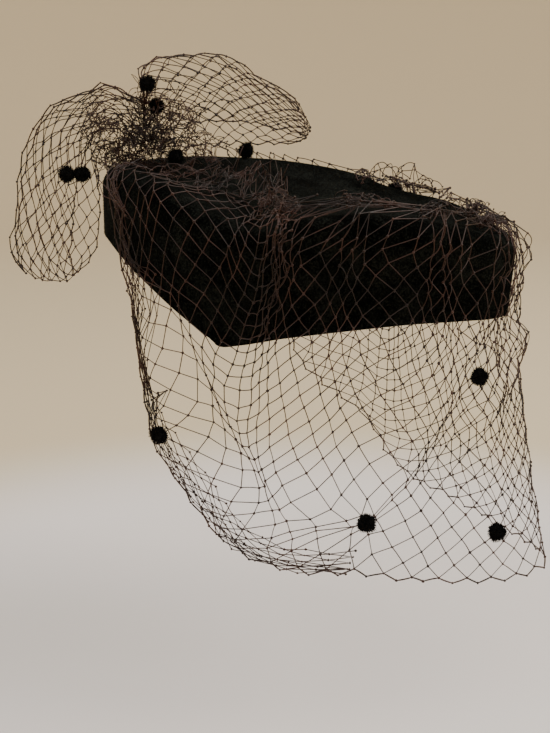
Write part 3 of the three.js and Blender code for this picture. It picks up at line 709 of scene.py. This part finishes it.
def veil_at(t, v):
    t, v = np.broadcast_arrays(np.asarray(t, float), np.asarray(v, float))
    a = np.abs(wrap(t))
    start = start_share(t)
    q = np.clip((v - start) / np.maximum(1 - start, 1e-6), 0, 1)
    right_lie = GATHER_LIE * column(VEIL_ROWS, "lie", a)
    lie = right_lie * (1 - (1 - LEFT_LIE) * np.clip((-wrap(t) - LEFT_FROM) / LEFT_OVER, 0, 1))
    lie = lie * np.clip((BARE_FROM + BARE_OVER + wrap(t)) / BARE_OVER, 0, 1)
    drop = np.maximum(NET_DROP * column(VEIL_ROWS, "drop", a) - (right_lie - lie), 0)
    flare = HEM_FLARE * column(VEIL_ROWS, "flare", a)
    hem = crest_height(t) - SHOULDER - (drop - lie - SHOULDER * np.pi / 2)
    lift = NET_LIFT + BUNCH_RISE * np.clip(1 - (BUNCH_ANGLE - a) / 12, 0, 1)
    for at, width, rise in zip(PLEATS["angle"], PLEATS["width"], PLEATS["rise"]):
        lift = lift + PLEAT_RISE * rise * np.exp(-((a - at) / width) ** 2) * np.clip(1 - 1.2 * q, 0, 1)
    p = side_point(t, drop * q, lie, lift, flare, hem)
    fall = -VEIL_DROP_Z * column(SWAG_ROWS, "fall", a)
    ridge = SWAG_RISE * np.exp(-((p[..., 2] - fall) / SWAG_WIDTH) ** 2) * np.clip((118 - a) / 20, 0, 1)
    n = outward(t)
    return p + np.concatenate([n * ridge[..., None], np.zeros_like(n[..., :1])], -1)


def end_angle(v):
    angles = np.linspace(69, 142, 800)
    return np.interp(v, start_share(angles), angles)


# %% [markdown]
# The strip is more than three times as long as the crest that it is sewn to. Its length isn't
# spread evenly: between the tacks the net lies open, and what is left over is gathered into a few
# soft folds that open out on the way down to the hem. `GATHERS` lists them by angle.

# %% Gathers
NET_LONG = 880
VEIL_DIAMONDS = (56, 15)
GATHERS = table("angle share width", [
    (71, 1.0, 3.4), (55, 0.5, 3.0), (33, 0.7, 3.4), (12, 0.9, 3.6), (-8, 0.8, 3.4), (-28, 0.8, 3.4),
    (-49, 0.8, 3.4), (-71, 1.0, 3.4)])
NEAR_SWAG = table("angle share", [
    (102, 0.47), (95, 0.55), (87, 0.63), (78, 0.67), (72, 0.72), (69, 0.79), (64, 0.85), (52, 0.83)])
FACE_SWAG = table("angle share", [
    (20, 0.35), (25, 0.46), (32, 0.58), (41, 0.73), (49, 0.82)])
EDGE_CURL = table("angle share", [
    (118, 0.84), (112, 0.82), (107, 0.87), (104, 0.92), (98, 0.95), (84, 0.96)])


def fallen(t, q):
    start = start_share(t)
    return veil_at(t, start + q * (1 - start))


def gathered_at(t, v):
    """How much spare net lies at each angle: the folds grow wider on the way down."""
    rows = zip(GATHERS["angle"], GATHERS["share"], GATHERS["width"] * (1 + 1.4 * v))
    return sum(share * np.exp(-((t - at) / width) ** 2) for at, share, width in rows)


def row_angles(v, shares):
    """Angles of the crossings on the net's line v, and how densely the net lies at each."""
    end = end_angle(v)
    t = np.linspace(end, -end, 2401)
    steps = np.linalg.norm(np.diff(veil_at(t, v), axis=0), axis=1)
    fold = gathered_at((t[1:] + t[:-1]) / 2, v)
    spare = max(NET_LONG - steps.sum(), 0)
    crowd = 1 + fold * spare / (fold * steps).sum()
    along = np.concatenate([[0], np.cumsum(steps * crowd)])
    at = np.interp(shares * along[-1], along, t)
    return at, np.interp(-at, -t[1:], crowd)


def draw_in(points, rows, strength, width):
    """Points near a line on the veil are drawn towards it, as a hanging fold draws in its threads."""
    fine = np.linspace(0, len(rows["angle"]) - 1, 200)
    angle = np.interp(fine, range(len(rows["angle"])), rows["angle"])
    share = np.interp(fine, range(len(rows["angle"])), rows["share"])
    line = fallen(angle, share)
    far = np.linalg.norm(points[:, None] - line[None], axis=2)
    near = line[far.argmin(1)]
    pull = strength * np.exp(-(far.min(1) / width) ** 2)
    return points + pull[:, None] * (near - points)


# %% [markdown]
# A cloth simulation would let the net find its own folds, but not the ones that this veil has.
# So each crossing is laid at its angle and share first, then drawn towards the two hanging folds
# and the curled edge, and last shaken a little, most of all where the net is gathered.

# %% Crossings of the face veil
EVEN_SHAKE, ROUGH_SHAKE, ROUGH_LIFT = 0.35, 1.7, 4.0
SEAM_DEPTH = 0.035
spots, sides = lattice(*VEIL_DIAMONDS)
u = spots[:, 0] / (2 * VEIL_DIAMONDS[0])
v = spots[:, 1] / (2 * VEIL_DIAMONDS[1])
last = spots[:, 1] == 2 * VEIL_DIAMONDS[1]
v = np.where(last, 1 - 0.6 / (2 * VEIL_DIAMONDS[1]), v)
angle = np.zeros(len(spots))
crowd = np.ones(len(spots))
for row in np.unique(v):
    at = v == row
    angle[at], crowd[at] = row_angles(row, u[at])
veil_points = veil_at(angle, v)
for rows, strength, width in ((NEAR_SWAG, 0.80, 16), (FACE_SWAG, 0.86, 17), (EDGE_CURL, 0.72, 17)):
    veil_points = draw_in(veil_points, rows, strength, width)
away = np.concatenate([outward(angle), np.zeros((len(spots), 1))], 1)
bunched = np.clip((crowd - 1.5) / 3, 0, 1) * np.clip(1 - 1.5 * v, 0.12, 1)
seam = np.exp(-np.clip(v - start_share(angle), 0, None) / SEAM_DEPTH)
seam = seam * np.select([angle < -60, angle < -20], [0.5, 0.25], 1)
rough = (np.maximum(bunched, seam) * np.where(angle < -15, 0.6, 1))[:, None]
shake = rng.normal(0, EVEN_SHAKE, veil_points.shape)
veil_points += shake + rough * rng.normal(0, ROUGH_SHAKE, veil_points.shape)
veil_points += away * rough * rng.uniform(0, ROUGH_LIFT, (len(spots), 1))
veil_points[:, 2] += seam * rng.uniform(0, ROUGH_LIFT, len(spots))
tie_dots(veil_points)
lengths = np.linalg.norm(veil_points[sides[:, 0]] - veil_points[sides[:, 1]], axis=1)
print("veil sides mm", np.percentile(lengths, [5, 50, 95, 100]).round(1).tolist())

# %% Threads of the face veil
loose = 0.10 + 0.85 * rough[sides].mean(1)[:, 0]
hem_side = spots[sides].min(1)[:, 1] >= 2 * VEIL_DIAMONDS[1] - 1
side_away = away[sides[:, 0]] + 0.35 * UP
wires = net_wires("veil_wires", veil_points, sides, side_away, loose, 5, 1.0, hem_side, 1.7)
veil = spin_net(wires, "net_veil")
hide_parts("face_veil")


# %% [markdown]
# The bow's two loops are the same net, folded over and puffed. Each is laid between an outer and
# an inner line that the tables give, and `u` runs once round the loop, so that its front and back
# are one strip. The front stands back a little from the inner line, as cut net does.

# %% Bow loops
CUT_BACK, END_ROUND = 0.26, 10
LOOP_DIAMONDS = (21, 7)
LAST_LINE = 2 * LOOP_DIAMONDS[1] - 1


def loop_at(rows, way, near, u, v):
    turn = 2 * np.pi * (0.04 + 0.92 * u)
    share = (1 - np.cos(turn)) / 2
    front = np.clip(1.6 * near * np.sin(turn), 0, 1)
    w = v * (1 - CUT_BACK * front)
    belly = (0.45 + 0.55 * share) * (0.3 + 0.7 * np.sin(np.pi * w))

    def across(kind):
        outer = column(rows, "out_" + kind, share, "share")
        return LOOP_REACH * (outer * (1 - w) + column(rows, "in_" + kind, share, "share") * w)

    round_end = END_ROUND * share ** 8 * (4 * w * (1 - w) - 0.7)
    end_reach = rows["out_reach"][-1] - rows["out_reach"][-3]
    end_height = rows["out_height"][-1] - rows["out_height"][-3]
    end_way = end_reach * way + end_height * UP
    end_way = end_way / np.linalg.norm(end_way)
    side = np.cross(way, UP)
    puff = LOOP_THICK * np.sin(turn) * belly
    flat = KNOT + across("reach")[:, None] * way + across("height")[:, None] * UP
    return flat + puff[:, None] * side + round_end[:, None] * end_way


def even_shares(rows, way, near, v, shares):
    """Shares along a loop that divide it evenly by its own length."""
    fine = np.linspace(0, 1, 400)
    line = loop_at(rows, way, near, fine, np.full(400, v))
    along = np.concatenate([[0], np.cumsum(np.linalg.norm(np.diff(line, axis=0), axis=1))])
    return np.interp(shares * along[-1], along, fine)


loop_parts = []
for rows, way, near in ((RIGHT_LOOP, (-0.45, 0.893, 0), -1), (LEFT_LOOP, (0.87, -0.493, 0), 1)):
    way = np.array(way)
    spots, sides = lattice(*LOOP_DIAMONDS)
    u = spots[:, 0] / (2 * LOOP_DIAMONDS[0])
    v = np.clip(spots[:, 1], 0.6, 2 * LOOP_DIAMONDS[1] - 0.6) / (2 * LOOP_DIAMONDS[1])
    points = np.zeros((len(spots), 3))
    for row in np.unique(v):
        at = v == row
        points[at] = loop_at(rows, way, near, even_shares(rows, way, near, row, u[at]), v[at])
    ends = np.exp(-np.minimum(u, 1 - u) / 0.05)
    points += rng.normal(0, 0.5, points.shape) + ends[:, None] * rng.normal(0, 3.0, points.shape)
    tie_dots(points, 9, 8)
    middle = KNOT + 0.5 * LOOP_REACH * way
    lines = spots[sides][:, :, 1]
    rim = (lines <= 1).all(1) | (lines >= LAST_LINE).all(1)
    loose = 0.14 + 0.8 * ends[sides].mean(1)
    loop_parts.append((points, sides, (points - middle)[sides[:, 0]] / 30, loose, rim))
right, left = loop_parts
loop_sides = np.vstack([right[1], left[1] + len(right[0])])
wires = net_wires("loop_wires", np.vstack([right[0], left[0]]), loop_sides,
                  np.vstack([right[2], left[2]]), np.concatenate([right[3], left[3]]), 5, 0.9,
                  np.concatenate([right[4], left[4]]), 1.55)
loops = spin_net(wires, "bow_loops", seed=3)
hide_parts("net_bow")


# %% [markdown]
# The bow's middle is so tightly bunched that no diamond can be followed. There the crossings are
# thrown close together round a few puffs, and the threads between them bow out every way.

# %% Bunched net
def bunch(middles, radii, shares, count):
    """A crumple of net: crossings scattered round some middles, each tied to a few close ones."""
    pick = rng.choice(len(middles), count, p=shares / shares.sum())
    points = middles[pick] + rng.normal(0, 0.52, (count, 3)) * radii[pick]
    for dot in dot_middles():
        way = points - dot
        far = np.linalg.norm(way, axis=1, keepdims=True)
        points = np.where(far < DOT_ROOM, dot + way * DOT_ROOM / far, points)
    far = np.linalg.norm(points[:, None] - points[None], axis=2)
    np.fill_diagonal(far, 99)
    sides = set()
    for k in range(count):
        for other in np.argsort(np.abs(far[k] - 0.72 * SIDE))[:2]:
            sides.add((min(k, int(other)), max(k, int(other))))
    return points, np.array(sorted(sides))


def bunched_net(name, middles, radii, shares, count, seed):
    points, sides = bunch(middles, radii, shares, count)
    out = np.tile(0.3 * UP, (len(sides), 1))
    wires = net_wires(name + "_wires", points, sides, out, 0.8, 6, 1.2)
    return spin_net(wires, name, thread=0.19, knot=0.5, seed=seed)



# %% Knot of the bow
# Puffs of the knot: rightward, up and reach in mm from the knot's middle.
RIGHTWARD = np.array([0.4477, -0.8942, 0])
PUFFS = table("right up radius share", [
    (-4, -4, 18, 4), (6, -3, 18, 3), (-14, -8, 16, 2), (16, -6, 14, 1.6), (-26, 2, 19, 1.8), (2, 13, 17, 1.3),
    (-9, 16, 15, 0.9), (14, 13, 15, 0.9), (26, 3, 14, 0.7), (34, -10, 11, 0.8), (-10, -17, 10, 0.9),
    (-36, 8, 15, 0.9), (-24, -14, 12, 1.2), (-12, -22, 10, 1.0)])
middles = KNOT + PUFFS["right"][:, None] * RIGHTWARD + PUFFS["up"][:, None] * UP
radii = PUFFS["radius"][:, None] * np.array([1.0, 1.0, 0.9])
knot = bunched_net("bow_knot", middles, radii, PUFFS["share"], 980, 4)


# %% [markdown]
# Along the near side of the crown the strip's upper edge is crumpled before it is sewn down, so
# loose net stands up there above the seam. Two rumpled strips of net follow the seam, and small
# bunches sit on the tacks in front.

# %% Crumpled strips
def crumpled_strip(name, line, inward, width, height, diamonds, seed):
    """A loose, rumpled strip of net along a seam: `inward` points over the crown."""
    spots, sides = lattice(*diamonds)
    u = spots[:, 0] / (2 * diamonds[0])
    v = spots[:, 1] / (2 * diamonds[1]) - 0.35
    at = u * (len(line) - 1)
    along = np.stack([np.interp(at, range(len(line)), line[:, k]) for k in range(3)], 1)
    across = np.stack([np.interp(at, range(len(line)), inward[:, k]) for k in range(3)], 1)
    points = along + across * (v * width)[:, None] + rng.normal(0, 1, (len(u), 3)) * (2.0, 2.0, 1.3)
    points[:, 2] += height * (0.25 + (v + 0.35)) * rng.uniform(0.25, 1, len(u)) * np.sin(np.pi * u) ** 0.5
    out = np.tile(0.4 * UP, (len(sides), 1))
    wires = net_wires(name + "_wires", points, sides, out, 0.7, 6, 1.0)
    return spin_net(wires, name, thread=0.22, knot=0.45, seed=seed)


STRIPS = ((34, 21, (14, 4)), (16, 12, (17, 1)))
NEAR_SEAM = (68, 131)
t = np.linspace(*NEAR_SEAM, 60)
line = veil_at(t, start_share(t)) + 1.0 * UP
inward = np.concatenate([-outward(t), np.zeros((60, 1))], 1)
for layer, (width, height, diamonds) in enumerate(STRIPS):
    crumpled_strip(f"near_gather_{layer + 1}", line, inward, width, height, diamonds, 20 + layer)
tied = GATHERS["angle"][(GATHERS["angle"] < 80) & (GATHERS["angle"] > -40)]
middles = veil_at(tied, start_share(tied)) + 2.0 * UP
radii = np.tile([8.0, 8.0, 4.0], (len(tied), 1))
bunched_net("crest_tacks", middles, radii, np.ones(len(tied)), 170, 9)


# %% [markdown]
# The free edge of a hanging veil curls under. Seen through the outer layer it reads as a band of
# long, close threads. It is laid as two narrow strips inside the edge.

# %% Turned edge
TURNED_EDGE = table("angle share", [
    (139, 0.80), (133, 0.86), (127, 0.90), (121, 0.92), (114, 0.94), (107, 0.955), (98, 0.965), (88, 0.972),
    (76, 0.975), (52, 0.975)])


def turned_edge(name, width, diamonds, inset, seed):
    """The net's free edge turns in under itself, less and less towards the front."""
    spots, sides = lattice(*diamonds)
    at = spots[:, 0] / (2 * diamonds[0]) * (len(TURNED_EDGE["angle"]) - 1)
    angle = np.interp(at, range(len(TURNED_EDGE["angle"])), TURNED_EDGE["angle"])
    share = np.interp(at, range(len(TURNED_EDGE["angle"])), TURNED_EDGE["share"])
    line = fallen(angle, share)
    across = fallen(angle - 3, share - 0.1) - line
    across /= np.linalg.norm(across, axis=1, keepdims=True)
    v = spots[:, 1] / (2 * diamonds[1])
    reach = v * width * (1 - 0.6 * spots[:, 0] / (2 * diamonds[0]))
    points = line + across * reach[:, None] - inset * np.c_[outward(angle), np.zeros(len(v))]
    points += rng.normal(0, 0.35, points.shape)
    out = np.tile(0.3 * UP, (len(sides), 1))
    wires = net_wires(name + "_wires", points, sides, out, 0.12, 4, 1.0)
    return spin_net(wires, name, thread=0.25, knot=0.7, seed=seed)


turned_edge("edge_fold_1", 34, (20, 4), 2.0, 31)
turned_edge("edge_fold_2", 13, (16, 2), 3.5, 32)


# %% [markdown]
# Between two tacks the slack of the net stands up in small open arches. Each is a short piece of
# the same lattice with both its long edges held at the crest.

# %% Standing loops
STANDING = table("start end rise inner outer", [
    (-92, -80, 6, 7, 3), (-80, -52, 11, 9, 4), (-30, -16, 7, 7, 3), (18, 34, 6, 8, 4), (42, 52, 5, 7, 3)])


def standing_loop(number, start, end, rise, inner, outer):
    """A short arch of open net that stands up from the crest between two tacks."""
    diamonds = (max(3, round(abs(end - start) / 4.5)), 2)
    spots, sides = lattice(*diamonds)
    u = spots[:, 0] / (2 * diamonds[0])
    v = spots[:, 1] / (2 * diamonds[1])
    t = start + (end - start) * u
    foot = veil_at(t, start_share(t))
    reach = outer - (inner + outer) * v
    points = foot + np.c_[outward(t), np.zeros(len(t))] * reach[:, None]
    arch = np.sin(np.pi * np.clip(v + 0.1, 0, 1)) * (0.35 + 0.65 * np.sin(np.pi * u))
    points[:, 2] += 1 + rise * arch
    points += rng.normal(0, 0.8, points.shape)
    out = np.tile(UP, (len(sides), 1))
    wires = net_wires(f"standing_wires_{number}", points, sides, out, 0.5, 6, 0.8)
    return spin_net(wires, f"standing_loop_{number}", thread=0.24, knot=0.6, seed=number)


for number, row in enumerate(zip(*STANDING.values()), 1):
    standing_loop(number, *row)


# %% [markdown]
# ## Chenille dots
# Each dot is a short end of chenille: a dark core with a thick coat of fibres. The fibre tree that
# made the nap of the felt is used again, with longer and thicker fibres.

# %% Dots
def chenille_material():
    material, graph = new_material("black_chenille")
    place = graph.out(graph.add("ShaderNodeTexCoord"), "Object")
    noise = graph.out(graph.add("ShaderNodeTexNoise", None, {"Vector": place, "Scale": 700.0}))
    color = graph.add("ShaderNodeValToRGB", {"stops": [
        (0.35, (0.0018, 0.0018, 0.0020, 1)), (0.7, (0.009, 0.0085, 0.0085, 1))]}, {"Fac": noise})
    shader = graph.add("ShaderNodeBsdfPrincipled", None, {
        "Base Color": graph.out(color), "Roughness": 0.95, "Specular IOR Level": 0.1})
    finish_material(graph, shader)
    return material


def lumpy_core(name, middle, radius, seed):
    bpy.ops.mesh.primitive_ico_sphere_add(subdivisions=3, radius=1)
    core = bpy.context.object
    core.name = name
    lumps = np.random.default_rng(seed).normal(0, 1, (14, 3))
    lumps /= np.linalg.norm(lumps, axis=1, keepdims=True)
    for vertex in core.data.vertices:
        way = np.array(vertex.co)
        high = np.exp(-(1 - lumps @ way).min() / 0.035)
        vertex.co = Vector(way * radius * (0.74 + 0.32 * high)) + middle
    return core


chenille = chenille_material()
for number in range(1, DOTS + 1):
    node = f"chenille_dot_{number:02d}"
    low, high = (Vector(corner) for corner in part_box(node))
    core = lumpy_core(f"dot_core_{number:02d}", (low + high) / 2, 0.0047, number)
    core.data.materials.append(chenille)
    fuzz = bake_tree(core, fibres, {
        "Count": 6.0e6, "Length": 0.0019, "Radius": 0.00019, "Lean": 0.5, "Seed": number,
        "Material": chenille}, f"dot_fuzz_{number:02d}")
    for piece in (core, fuzz):
        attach(piece, "root")
    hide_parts(node)
print("fuzz triangles on a dot", triangles(fuzz))
